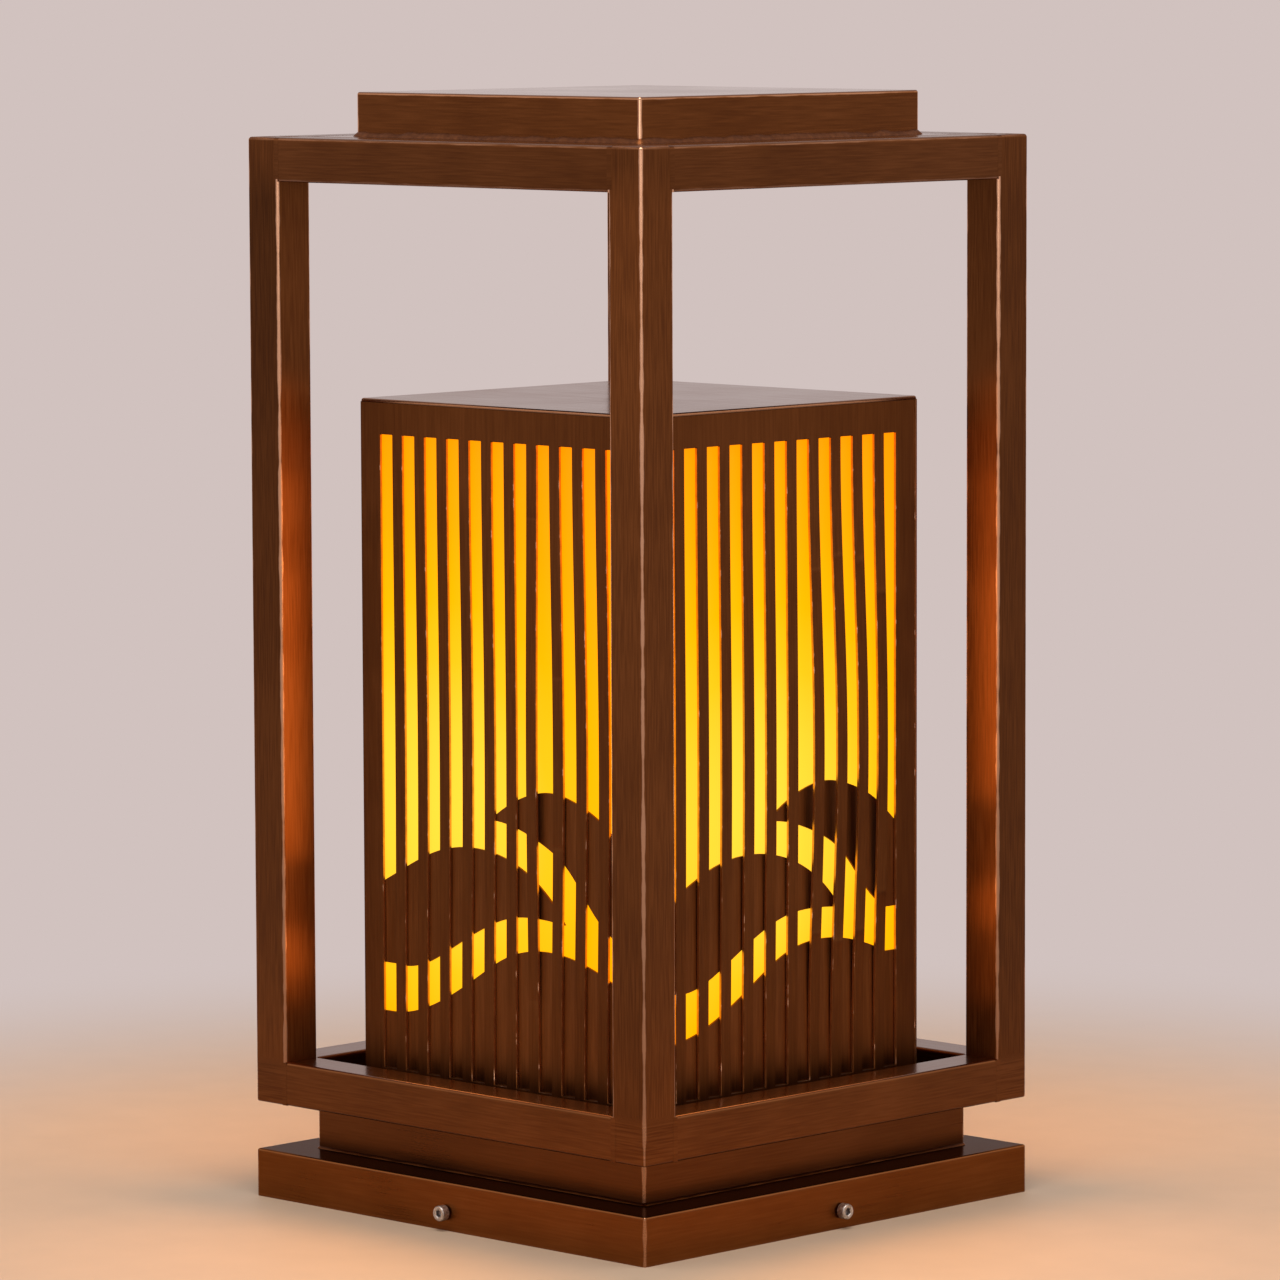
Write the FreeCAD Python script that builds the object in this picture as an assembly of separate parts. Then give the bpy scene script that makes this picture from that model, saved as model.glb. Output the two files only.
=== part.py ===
import FreeCAD, Part
import math
import os

from FreeCAD import Vector

# Lantern for the top of a gate pillar: an open frame of square tube round a slotted shade, lifted off a
# mounting plate that carries the bulb. Millimetres, +Z up, origin at the middle of the base.

# Frame of square tube
FRAME_W = 250.0  # outside width, both ways
TUBE = 20.0  # side of the tube
TUBE_WALL = 1.2
TUBE_R = 1.5  # outer corner radius of the tube
POST_L = 441.5
POST_END_R = 1.0  # rounding of a post's lower end

# Base cover: a skirt with a plinth on it
SHEET = 1.5  # thickness of the folded sheet
SHEET_R = 1.2  # rounding of its outer edges
SKIRT_H = 22.0
SKIRT_LIP = 16.0  # ledge of the skirt's top inside the plinth
PLINTH_SHOW = 22.0  # height of the plinth between skirt and frame
PLINTH_LAP = 10.0  # height of the plinth inside the frame's foot
DECK_LIP = 3.5  # ledge of the deck inside the shade's corner angles

# Roof
CAP_W = 180.0
CAP_H = 20.0
BEAD = 2.0  # width and height of the sealing bead round the cap
BEAD_LAND = 0.3  # what its bevel leaves of both

# Shade
SHADE_W = 179.0
SHADE_H = 313.0
SLOT_W = 8.0
SLOT_PITCH = 14.4
SLOT_MARGIN = 13.0  # least plain strip beside the outer slots
SLOT_SILL = 7.0  # plain strip under the slots
SLOT_HEAD = 16.0  # plain band over the slots, with the lid
HILL_T = 1.0
HILL_H = 142.0  # foot of the shade to the highest crest
HILL_EDGE = 4.5  # upright strip that carries the hills at both sides
DIFFUSER_T = 2.0
ANGLE_LEG = 12.0  # corner angles that hold the diffusers
ANGLE_T = 1.0

# Clamp screws, one in the middle of each side of the skirt
SCREW_D = 4.0
SCREW_L = 16.0
SCREW_HEAD_D = 7.0
SCREW_HEAD_H = 4.0
SCREW_BEVEL = 0.4  # at the head's face and the tip
SCREW_KEY = 3.0  # across the flats of the hexagon socket
SCREW_KEY_DEPTH = 2.0
SCREW_Z = 8.2
SCREW_STANDOFF = 0.6  # skirt to the underside of the head
CLAMP_NUT_AF = 7.0
CLAMP_NUT_H = 3.2
TIP_GAP = 0.3  # screw tip to the mounting plate's tab
SLIP = 0.15  # radial clearance of a screw in its hole

# Mounting plate
PLATE_T = 2.0
PLATE_CORNER_R = 6.0
TAB_W = 60.0
TAB_RISE = 7.0  # tab above the screw's axis
TAB_R = 4.0  # rounding of a tab's upper corners
ANCHOR_PITCH = 150.0
ANCHOR_D = 7.0
CABLE_OFFSET = 45.0  # cable bush, towards the front
CABLE_D = 10.0
BUSH_WALL = 3.0
BUSH_FLANGE = 3.0
BUSH_FLANGE_H = 2.0

# Bridge and stem that carry the lampholder
BRIDGE_T = 1.5
BRIDGE_W = 25.0
BRIDGE_H = 18.0
BRIDGE_SPAN = 60.0
BRIDGE_FOOT = 16.0
STEM_D = 10.0
STEM_BORE = 7.0
STEM_L = 100.0
STEM_CLEAR = 6.0  # plate to the stem's lower end
STEM_FIT = 0.05  # radial clearance of the stem's thread
STEM_NUT_AF = 14.0
STEM_NUT_H = 3.0

# Small pan-head screws and the shade's nuts
PAN_D = 4.0
PAN_HEAD_D = 7.5
PAN_HEAD_H = 2.4
SHADE_SCREW_D = 3.0
SHADE_HEAD_D = 5.6
SHADE_HEAD_H = 1.8
SHADE_NUT_AF = 5.5
SHADE_NUT_H = 2.4
SHADE_SCREW_OVER = 1.0  # thread that shows over the nut

# Terminal block and earth screw
POLES = 3
POLE_PITCH = 10.0
TERMINAL_END = 6.0  # middle of an outer pole to the block's end
TERMINAL_D = 17.0
TERMINAL_H = 13.0
TERMINAL_OFFSET = 45.0  # towards the back
TERMINAL_ROWS = 9.0  # between the two rows of screws
TERMINAL_SCREW_D = 4.0
TERMINAL_WELL = 6.0
TERMINAL_SCREW_H = 3.0
WIRE_D = 4.0
WIRE_Z = 4.2
EARTH_OFFSET = 40.0

# Lampholder
HOLDER_WALL = 5.0
HOLDER_CAP_H = 20.0
HOLDER_DOME_H = 14.0
HOLDER_NECK_D = 18.0
HOLDER_GRIP = 10.0  # length of the stem inside the cap
HOLDER_BODY_H = 34.0
HOLDER_RIM_R = 2.0
INSERT_H = 6.0
INSERT_SEAT = 2.0
INSERT_FIT = 0.3
SHELL_T = 1.0
SHELL_H = 24.0
CONTACT_D = 10.0
CONTACT_H = 1.5

# Bulb
BULB_CAP_D = 26.2
BULB_CAP_H = 27.0  # contact tip to the housing
BULB_CAP_WALL = 1.0
BULB_CONE_H = 5.5
BULB_TIP_D = 9.6
BULB_TIP_H = 2.5
BULB_TIP_GAP = 0.3
SOCKET_GAP = 0.5  # radial room round the bulb's cap
HOUSING_H = 40.0
HOUSING_COLLAR = 6.0  # straight part under the flare
HOUSING_NECK_D = 28.0
HOUSING_D = 58.0
HOUSING_WALL = 2.5
GLOBE_D = 60.0
GLOBE_T = 1.2
LED_PLATE_T = 1.5
LED_PLATE_FIT = 0.3  # radial clearance in the globe's rim

# Lines of the hills, as shares of the hill plate's half width and of HILL_H
LEFT_HILL_TOP = [(-1.0, 0.623), (-0.69, 0.718), (-0.457, 0.777), (-0.206, 0.796), (0.046, 0.770),
                 (0.251, 0.708), (0.451, 0.588)]
LEFT_HILL_UNDER = [(0.451, 0.588), (0.251, 0.597), (0.057, 0.587), (-0.171, 0.535), (-0.4, 0.459),
                   (-0.594, 0.401), (-0.8, 0.389)]
FRONT_HILL_TOP = [(-0.8, 0.232), (-0.434, 0.300), (-0.171, 0.393), (0.057, 0.468), (0.286, 0.495),
                  (0.571, 0.474), (0.8, 0.423)]
RIGHT_HILL_UNDER = [(0.8, 0.566), (0.622, 0.662), (0.457, 0.775), (0.251, 0.845), (0.046, 0.884),
                    (-0.091, 0.893)]
RIGHT_HILL_TOP = [(-0.091, 0.893), (0.046, 0.947), (0.194, 0.985), (0.354, 1.0), (0.526, 0.979),
                  (0.703, 0.930), (0.857, 0.854), (1.0, 0.778)]

# Levels that follow from the sizes
z_frame = SKIRT_H + PLINTH_SHOW
z_deck = z_frame + PLINTH_LAP
z_roof = z_frame + POST_L
z_lid = z_deck + SHADE_H - SHEET
z_bridge = PLATE_T + BRIDGE_H
z_stem = PLATE_T + STEM_CLEAR
z_holder = z_stem + STEM_L - HOLDER_GRIP
z_insert = z_holder + HOLDER_CAP_H
z_socket = z_insert + INSERT_H
z_bulb = z_socket + CONTACT_H + BULB_TIP_GAP
z_housing = z_bulb + BULB_CAP_H
z_globe = z_housing + HOUSING_H

# Half widths and radii that follow from the sizes
frame_half = FRAME_W / 2
plinth_half = frame_half - TUBE
shade_half = SHADE_W / 2
hill_half = shade_half - SHEET - HILL_T
diffuser_half = hill_half - DIFFUSER_T
deck_opening = 2 * (diffuser_half - ANGLE_LEG - DECK_LIP)
skirt_opening = 2 * (plinth_half - SHEET - SKIRT_LIP)
head_face = frame_half + SCREW_STANDOFF
plate_half = head_face - SCREW_L - TIP_GAP
stem_hole_r = STEM_D / 2 + STEM_FIT
shell_r = BULB_CAP_D / 2 + SOCKET_GAP
insert_r = shell_r + SHELL_T
holder_bore_r = insert_r + INSERT_FIT
holder_r = holder_bore_r + HOLDER_WALL

Z_AXIS = Vector(0, 0, 1)
SIDES = {"front": 0, "right": 90, "back": 180, "left": 270}
CORNERS = {"front_right": 0, "back_right": 90, "back_left": 180, "front_left": 270}
TINY = 1e-6


def block(x0, x1, y0, y1, z0, z1):
    return Part.makeBox(x1 - x0, y1 - y0, z1 - z0, Vector(x0, y0, z0))


def square(side, z0, z1, corner_r=0.0):
    """Upright square bar on the Z axis, its upright edges rounded."""
    half = side / 2
    bar = block(-half, half, -half, half, z0, z1)
    return bar.makeFillet(corner_r, upright_edges(bar)) if corner_r else bar


def drum(radius, z0, z1, x=0.0, y=0.0):
    return Part.makeCylinder(radius, z1 - z0, Vector(x, y, z0))


def hexagon(across_flats, z0, z1):
    """Hexagon bar on the Z axis."""
    radius = across_flats / 2 / math.cos(math.pi / 6)
    turns = [math.radians(60 * step) for step in range(7)]
    ring = [Vector(radius * math.cos(turn), radius * math.sin(turn), z0) for turn in turns]
    return Part.Face(Part.makePolygon(ring)).extrude(Vector(0, 0, z1 - z0))


def nut(across_flats, hole_r, z0, z1):
    return hexagon(across_flats, z0, z1).cut(drum(hole_r, z0, z1))


def pan_screw(diameter, head_d, head_h, length):
    """Pan-head screw with its head on z = 0 and its shank below."""
    head = drum(head_d / 2, 0, head_h)
    head = head.makeChamfer(head_h / 2, edges_at_height(head, head_h))
    return head.fuse(drum(diameter / 2, -length, 0))


def at(x, z):
    return Vector(x, 0, z)


def profile(start, *steps):
    """Closed face in the XZ plane. A step is an end point, or an arc's (through point, end point)."""
    edges = []
    here = start
    for step in steps + (start,):
        if isinstance(step[0], tuple):
            through, there = step
            edges.append(Part.Arc(at(*here), at(*through), at(*there)).toShape())
        else:
            there = step
            edges.append(Part.makeLine(at(*here), at(*there)))
        here = there
    return Part.Face(Part.Wire(edges))


def lathe(start, *steps):
    return profile(start, *steps).revolve(Vector(), Z_AXIS, 360)


def upright_edges(shape):
    return [e for e in shape.Edges if e.BoundBox.XLength < TINY and e.BoundBox.YLength < TINY]


def edges_at_height(shape, z):
    return [e for e in shape.Edges if abs(e.BoundBox.ZMin - z) < TINY and abs(e.BoundBox.ZMax - z) < TINY]


def moved(shape, x=0.0, y=0.0, z=0.0):
    copy = shape.copy()
    copy.translate(Vector(x, y, z))
    return copy


def turned(shape, angle, axis=Z_AXIS):
    copy = shape.copy()
    copy.rotate(Vector(), axis, angle)
    return copy


def all_round(shape):
    """The shape and its three copies round the Z axis, as separate solids."""
    return Part.makeCompound([turned(shape, angle) for angle in SIDES.values()])


def post():
    """Post of the front right corner, closed above, with square edges where the rails are ground flush."""
    half = TUBE / 2
    ends = []
    for z0 in (0, POST_L - TUBE):
        end = square(TUBE, z0, z0 + TUBE)
        outer = [e for e in upright_edges(end) if e.CenterOfMass.x > 0 > e.CenterOfMass.y]
        ends.append(end.makeFillet(TUBE_R, outer))
    bar = square(TUBE, TUBE, POST_L - TUBE, TUBE_R).fuse(ends).removeSplitter()
    for z, end_r in ((0, POST_END_R), (POST_L, TUBE_R)):
        outer = [e for e in edges_at_height(bar, z) if e.CenterOfMass.x - e.CenterOfMass.y > half - TINY]
        bar = bar.makeFillet(end_r, outer)
    tube = bar.cut(square(TUBE - 2 * TUBE_WALL, 0, POST_L - TUBE_WALL))
    return moved(tube, frame_half - half, half - frame_half, z_frame)


def post_plug():
    """Plate that closes the lower end of the front right post."""
    centre = frame_half - TUBE / 2
    plug = square(TUBE - 2 * TUBE_WALL, z_frame, z_frame + TUBE_WALL)
    return moved(plug, centre, -centre)


def rail(z0, roof_edge=False):
    """Rail between the two front posts. A roof edge stays square inside, where the top plate butts."""
    length = FRAME_W - 2 * TUBE
    bar = square(TUBE, -length / 2, length / 2)
    rounded = upright_edges(bar)
    if roof_edge:
        rounded = [e for e in rounded if e.CenterOfMass.x > 0 or e.CenterOfMass.y < 0]
    bar = bar.makeFillet(TUBE_R, rounded)
    tube = bar.cut(square(TUBE - 2 * TUBE_WALL, -length / 2, length / 2))
    lying = turned(tube, 90, Vector(0, 1, 0))
    return moved(lying, 0, TUBE / 2 - frame_half, z0 + TUBE / 2)


def tray(side, z0, z1):
    """Folded sheet box, open below, with rounded outer edges."""
    outside = square(side, z0, z1, SHEET_R)
    outside = outside.makeFillet(SHEET_R, edges_at_height(outside, z1))
    return outside.cut(square(side - 2 * SHEET, z0, z1 - SHEET))


def skirt_side():
    """Front side of the skirt: a folded strip, mitred at both ends where the next ones are welded on."""
    skirt = tray(FRAME_W, 0, SKIRT_H)
    hole = along_front(drum(SCREW_D / 2 + SLIP, -frame_half, -plinth_half))
    left = Vector(-frame_half, -frame_half, 0)
    right = Vector(frame_half, -frame_half, 0)
    quarter = Part.Face(Part.makePolygon([Vector(), left, right, Vector()])).extrude(Vector(0, 0, SKIRT_H))
    return skirt.cut([square(skirt_opening, 0, SKIRT_H), hole]).common(quarter)


def along_front(upright):
    """Lays an upright piece along the front clamp screw's axis: its z becomes y."""
    return moved(turned(upright, -90, Vector(1, 0, 0)), 0, 0, SCREW_Z)


def clamp_nut():
    inner = SHEET - frame_half
    return along_front(nut(CLAMP_NUT_AF, SCREW_D / 2 + SLIP, inner, inner + CLAMP_NUT_H))


def clamp_screw():
    """Socket-head screw of the front side, as far in as it stands against the mounting plate."""
    under = -head_face
    head = drum(SCREW_HEAD_D / 2, under - SCREW_HEAD_H, under)
    head = head.makeChamfer(SCREW_BEVEL, edges_at_height(head, under - SCREW_HEAD_H))
    head = head.cut(hexagon(SCREW_KEY, under - SCREW_HEAD_H, under - SCREW_HEAD_H + SCREW_KEY_DEPTH))
    shank = drum(SCREW_D / 2, under, under + SCREW_L)
    shank = shank.makeChamfer(SCREW_BEVEL, edges_at_height(shank, under + SCREW_L))
    return along_front(head.fuse(shank))


def plinth():
    outside = square(2 * plinth_half, SKIRT_H, z_deck, SHEET_R)
    return outside.cut(square(2 * (plinth_half - SHEET), SKIRT_H, z_deck))


def deck():
    """Plate inside the plinth that the shade stands on, open for the bulb."""
    plate = square(2 * (plinth_half - SHEET), z_deck - SHEET, z_deck)
    plate = plate.cut(square(deck_opening, z_deck - SHEET, z_deck, PLATE_CORNER_R))
    place = shade_screw_place()
    hole = drum(SHADE_SCREW_D / 2 + SLIP, z_deck - SHEET, z_deck, place, -place)
    return plate.cut([turned(hole, angle) for angle in SIDES.values()])


def cap_bead():
    """Bead of sealant in the corner between cap and top plate."""
    foot = square(CAP_W + 2 * BEAD, z_roof, z_roof + BEAD, SHEET_R + BEAD)
    foot = foot.makeChamfer(BEAD - BEAD_LAND, edges_at_height(foot, z_roof + BEAD))
    return foot.cut(square(CAP_W, z_roof, z_roof + BEAD, SHEET_R))


def shade_lid():
    lid = square(SHADE_W, z_lid, z_lid + SHEET, SHEET_R)
    return lid.makeFillet(SHEET_R, edges_at_height(lid, z_lid + SHEET))


def slat_panel():
    """Slotted front of the shade. Its left edge laps the next panel, its right edge butts on the last."""
    panel = block(-shade_half, shade_half - SHEET, -shade_half, SHEET - shade_half, z_deck, z_lid)
    left = [e for e in upright_edges(panel) if e.CenterOfMass.x < 0]
    panel = panel.makeFillet(SHEET_R, [e for e in left if e.CenterOfMass.y < SHEET / 2 - shade_half])
    count = int((SHADE_W - 2 * SLOT_MARGIN - SLOT_W) // SLOT_PITCH) + 1
    first = -SHEET / 2 - SLOT_PITCH * (count - 1) / 2
    slots = []
    for step in range(count):
        x = first + SLOT_PITCH * step
        slots.append(block(x - SLOT_W / 2, x + SLOT_W / 2, -shade_half, SHEET - shade_half,
                           z_deck + SLOT_SILL, z_lid + SHEET - SLOT_HEAD))
    return panel.cut(slots)


def hill_line(shares):
    """Smooth line of a hill in the XZ plane."""
    points = [at(hill_half * across, z_deck + HILL_H * up) for across, up in shares]
    curve = Part.BSplineCurve()
    curve.interpolate(points)
    return curve.toShape()


def hill_plate():
    """Sheet behind the front slots, cut to three overlapping hills with two light bands between them."""
    strip = hill_half - HILL_EDGE
    lines = [hill_line(LEFT_HILL_TOP), hill_line(LEFT_HILL_UNDER), hill_line(FRONT_HILL_TOP),
             hill_line(RIGHT_HILL_UNDER), hill_line(RIGHT_HILL_TOP)]
    left_top, left_under, front_top, right_under, right_top = lines
    left_band = [end_point(left_under), at(-strip, end_point(left_under).z),
                 at(-strip, start_point(front_top).z), start_point(front_top)]
    right_band = [end_point(front_top), at(strip, end_point(front_top).z),
                  at(strip, start_point(right_under).z), start_point(right_under)]
    foot = [end_point(right_top), at(hill_half, z_deck), at(-hill_half, z_deck), start_point(left_top)]
    edges = lines + [e for chain in (left_band, right_band, foot) for e in Part.makePolygon(chain).Edges]
    outline = Part.Wire(Part.__sortEdges__(edges))
    sheet = Part.Face(outline).extrude(Vector(0, HILL_T, 0))
    return moved(sheet, 0, -hill_half - HILL_T)


def start_point(edge):
    return edge.valueAt(edge.FirstParameter)


def end_point(edge):
    return edge.valueAt(edge.LastParameter)


def diffuser():
    return block(-diffuser_half, diffuser_half, -hill_half, -diffuser_half, z_deck, z_lid)


def shade_screw_place():
    """Distance of a shade screw from the middle, both ways."""
    return diffuser_half - ANGLE_T - (ANGLE_LEG - ANGLE_T) / 2


def corner_angle():
    """Angle in the front right corner of the shade, with a foot on the deck."""
    far = diffuser_half
    near = far - ANGLE_LEG
    along_x = block(near, far, -far, ANGLE_T - far, z_deck, z_lid)
    along_y = block(far - ANGLE_T, far, -far, -near, z_deck, z_lid)
    foot = block(near, far, -far, -near, z_deck, z_deck + ANGLE_T)
    place = shade_screw_place()
    hole = drum(SHADE_SCREW_D / 2 + SLIP, z_deck, z_deck + ANGLE_T, place, -place)
    return along_x.fuse([along_y, foot]).removeSplitter().cut(hole)


def shade_screw():
    """Screw up through the deck and the corner angle's foot, with its head below."""
    length = SHEET + ANGLE_T + SHADE_NUT_H + SHADE_SCREW_OVER
    screw = turned(pan_screw(SHADE_SCREW_D, SHADE_HEAD_D, SHADE_HEAD_H, length), 180, Vector(1, 0, 0))
    return moved(screw, shade_screw_place(), -shade_screw_place(), z_deck - SHEET)


def shade_nut():
    z0 = z_deck + ANGLE_T
    piece = nut(SHADE_NUT_AF, SHADE_SCREW_D / 2 + SLIP, z0, z0 + SHADE_NUT_H)
    return moved(piece, shade_screw_place(), -shade_screw_place())


def mounting_plate():
    """Plate on the pillar, with holes for anchors, bridge, earth screw and cable."""
    plate = square(2 * plate_half, 0, PLATE_T, PLATE_CORNER_R)
    anchor = ANCHOR_PITCH / 2
    holes = [drum(ANCHOR_D / 2, 0, PLATE_T, x, y) for x in (-anchor, anchor) for y in (-anchor, anchor)]
    holes += [drum(PAN_D / 2 + SLIP, 0, PLATE_T, x, 0) for x in bridge_screw_places()]
    holes.append(drum(PAN_D / 2 + SLIP, 0, PLATE_T, EARTH_OFFSET, EARTH_OFFSET))
    holes.append(drum(CABLE_D / 2 + BUSH_WALL, 0, PLATE_T, 0, -CABLE_OFFSET))
    return plate.cut(holes)


def plate_tab():
    """Tab welded upright on the plate's front edge, where the clamp screw presses."""
    tab = block(-TAB_W / 2, TAB_W / 2, -plate_half, PLATE_T - plate_half, PLATE_T, SCREW_Z + TAB_RISE)
    across = [e for e in edges_at_height(tab, SCREW_Z + TAB_RISE) if e.BoundBox.XLength < TINY]
    return tab.makeFillet(TAB_R, across)


def cable_bush():
    """Bush in the plate's cable hole, flush below and flanged above."""
    bore = CABLE_D / 2
    barrel = bore + BUSH_WALL
    flange = barrel + BUSH_FLANGE
    top = PLATE_T + BUSH_FLANGE_H
    lip = BUSH_FLANGE_H / 2
    ring = lathe((bore, 0), (barrel, 0), (barrel, PLATE_T), (flange, PLATE_T), (flange, top - lip),
                 (flange - lip, top), (bore, top))
    return moved(ring, 0, -CABLE_OFFSET)


def bridge_screw_places():
    reach = BRIDGE_SPAN / 2 + BRIDGE_FOOT / 2
    return [-reach, reach]


def lamp_bridge():
    """Hat-shaped strip across the plate that carries the stem."""
    leg = BRIDGE_SPAN / 2
    inner = leg - BRIDGE_T
    tip = leg + BRIDGE_FOOT
    foot = PLATE_T + BRIDGE_T
    section = profile((-tip, PLATE_T), (-inner, PLATE_T), (-inner, z_bridge - BRIDGE_T),
                      (inner, z_bridge - BRIDGE_T), (inner, PLATE_T), (tip, PLATE_T), (tip, foot),
                      (leg, foot), (leg, z_bridge), (-leg, z_bridge), (-leg, foot), (-tip, foot))
    strip = moved(section.extrude(Vector(0, BRIDGE_W, 0)), 0, -BRIDGE_W / 2)
    folds = [e for e in edges_at_height(strip, z_bridge) if e.BoundBox.XLength < TINY]
    strip = strip.makeFillet(BRIDGE_T, folds)
    holes = [drum(PAN_D / 2 + SLIP, PLATE_T, foot, x, 0) for x in bridge_screw_places()]
    holes.append(drum(stem_hole_r + SLIP, z_bridge - BRIDGE_T, z_bridge))
    return strip.cut(holes)


def bridge_screws():
    screw = pan_screw(PAN_D, PAN_HEAD_D, PAN_HEAD_H, PLATE_T + BRIDGE_T)
    return Part.makeCompound([moved(screw, x, 0, PLATE_T + BRIDGE_T) for x in bridge_screw_places()])


def earth_screw():
    screw = pan_screw(PAN_D, PAN_HEAD_D, PAN_HEAD_H, PLATE_T)
    return moved(screw, EARTH_OFFSET, EARTH_OFFSET, PLATE_T)


def lamp_stem():
    """Threaded tube from the bridge to the lampholder."""
    return drum(STEM_D / 2, z_stem, z_stem + STEM_L).cut(drum(STEM_BORE / 2, z_stem, z_stem + STEM_L))


def stem_nuts():
    """Nuts over and under the bridge."""
    levels = (z_bridge - BRIDGE_T - STEM_NUT_H, z_bridge)
    return Part.makeCompound([nut(STEM_NUT_AF, stem_hole_r, z0, z0 + STEM_NUT_H) for z0 in levels])


def terminal_places():
    """Middles of the terminal screws, two to a pole."""
    first = -POLE_PITCH * (POLES - 1) / 2
    rows = (TERMINAL_OFFSET - TERMINAL_ROWS / 2, TERMINAL_OFFSET + TERMINAL_ROWS / 2)
    return [(first + POLE_PITCH * pole, y) for pole in range(POLES) for y in rows]


def terminal_block():
    half = POLE_PITCH * (POLES - 1) / 2 + TERMINAL_END
    y0 = TERMINAL_OFFSET - TERMINAL_D / 2
    top = PLATE_T + TERMINAL_H
    body = block(-half, half, y0, y0 + TERMINAL_D, PLATE_T, top)
    well_r = TERMINAL_SCREW_D / 2 + SLIP
    wells = [drum(well_r, top - TERMINAL_WELL, top, x, y) for x, y in terminal_places()]
    ways = [Part.makeCylinder(WIRE_D / 2, TERMINAL_D, Vector(x, y0, PLATE_T + WIRE_Z), Vector(0, 1, 0))
            for x in sorted({x for x, y in terminal_places()})]
    return body.cut(wells + ways)


def terminal_screws():
    z0 = PLATE_T + TERMINAL_H - TERMINAL_WELL
    return Part.makeCompound([drum(TERMINAL_SCREW_D / 2, z0, z0 + TERMINAL_SCREW_H, x, y)
                              for x, y in terminal_places()])


def holder_cap():
    """Domed lower half of the lampholder, screwed on the stem."""
    neck = HOLDER_NECK_D / 2
    seat = insert_r - INSERT_SEAT
    slant = math.sqrt(0.5)
    mid = (neck + (holder_r - neck) * slant, z_holder + HOLDER_DOME_H * (1 - slant))
    return lathe((stem_hole_r, z_holder), (neck, z_holder), (mid, (holder_r, z_holder + HOLDER_DOME_H)),
                 (holder_r, z_insert), (seat, z_insert), (seat, z_holder + HOLDER_GRIP),
                 (stem_hole_r, z_holder + HOLDER_GRIP))


def holder_body():
    """Upper half of the lampholder, with a rounded rim."""
    top = z_insert + HOLDER_BODY_H
    slant = math.sqrt(0.5)
    shoulder = holder_r - HOLDER_RIM_R
    mid = (shoulder + HOLDER_RIM_R * slant, top - HOLDER_RIM_R + HOLDER_RIM_R * slant)
    return lathe((holder_bore_r, z_insert), (holder_r, z_insert), (holder_r, top - HOLDER_RIM_R),
                 (mid, (shoulder, top)), (holder_bore_r, top))


def holder_thread():
    """Brass shell that takes the bulb's thread."""
    return drum(insert_r, z_socket, z_socket + SHELL_H).cut(drum(shell_r, z_socket, z_socket + SHELL_H))


def bulb_contact():
    tip = BULB_TIP_D / 2
    slant = math.sqrt(0.5)
    mid = (tip * slant, z_bulb + BULB_TIP_H * (1 - slant))
    return lathe((0, z_bulb), (mid, (tip, z_bulb + BULB_TIP_H)), (0, z_bulb + BULB_TIP_H))


def bulb_cap():
    """Screw cap of the bulb, a thin cup with a coned foot."""
    outer = BULB_CAP_D / 2
    inner = outer - BULB_CAP_WALL
    foot = z_bulb + BULB_TIP_H
    cone = foot + BULB_CONE_H
    tip = BULB_TIP_D / 2
    return lathe((0, foot), (tip, foot), (outer, cone), (outer, z_housing), (inner, z_housing),
                 (inner, cone + BULB_CAP_WALL), (0, cone + BULB_CAP_WALL))


def bulb_housing():
    """Flared housing of the bulb's driver."""
    neck = HOUSING_NECK_D / 2
    rim = HOUSING_D / 2
    flare = z_housing + HOUSING_COLLAR
    return lathe((neck - HOUSING_WALL, z_housing), (neck, z_housing), (neck, flare), (rim, z_globe),
                 (rim - HOUSING_WALL, z_globe), (neck - HOUSING_WALL, flare))


def globe_arc(radius):
    """Rim radius, a point half way up and the crown's height of the globe's round wall of that radius."""
    centre = z_globe + math.sqrt(GLOBE_D ** 2 - HOUSING_D ** 2) / 2
    rim = math.sqrt(radius ** 2 - (centre - z_globe) ** 2)
    slant = math.sqrt(0.5)
    return rim, (radius * slant, centre + radius * slant), centre + radius


def bulb_globe():
    rim, mid, crown = globe_arc(GLOBE_D / 2)
    inner_rim, inner_mid, inner_crown = globe_arc(GLOBE_D / 2 - GLOBE_T)
    return lathe((rim, z_globe), (mid, (0, crown)), (0, inner_crown), (inner_mid, (inner_rim, z_globe)))


def bulb_led_plate():
    rim = globe_arc(GLOBE_D / 2 - GLOBE_T)[0]
    return drum(rim - LED_PLATE_FIT, z_globe, z_globe + LED_PLATE_T)


nodes = {
    "base_skirt": all_round(skirt_side()),
    "clamp_nuts": all_round(clamp_nut()),
    "plinth": plinth(),
    "deck": deck(),
    "post_plugs": all_round(post_plug()),
    "top_plate": square(2 * plinth_half, z_roof - SHEET, z_roof),
    "top_cap": tray(CAP_W, z_roof, z_roof + CAP_H),
    "cap_bead": cap_bead(),
    "shade_lid": shade_lid(),
    "corner_angles": all_round(corner_angle()),
    "shade_screws": all_round(shade_screw()),
    "shade_nuts": all_round(shade_nut()),
    "mounting_plate": mounting_plate(),
    "plate_tabs": all_round(plate_tab()),
    "cable_bush": cable_bush(),
    "lamp_bridge": lamp_bridge(),
    "bridge_screws": bridge_screws(),
    "earth_screw": earth_screw(),
    "lamp_stem": lamp_stem(),
    "stem_nuts": stem_nuts(),
    "terminal_block": terminal_block(),
    "terminal_screws": terminal_screws(),
    "holder_cap": holder_cap(),
    "holder_body": holder_body(),
    "holder_insert": drum(insert_r, z_insert, z_socket),
    "holder_thread": holder_thread(),
    "holder_contact": drum(CONTACT_D / 2, z_socket, z_socket + CONTACT_H),
    "bulb_contact": bulb_contact(),
    "bulb_cap": bulb_cap(),
    "bulb_housing": bulb_housing(),
    "bulb_globe": bulb_globe(),
    "bulb_led_plate": bulb_led_plate(),
}
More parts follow.
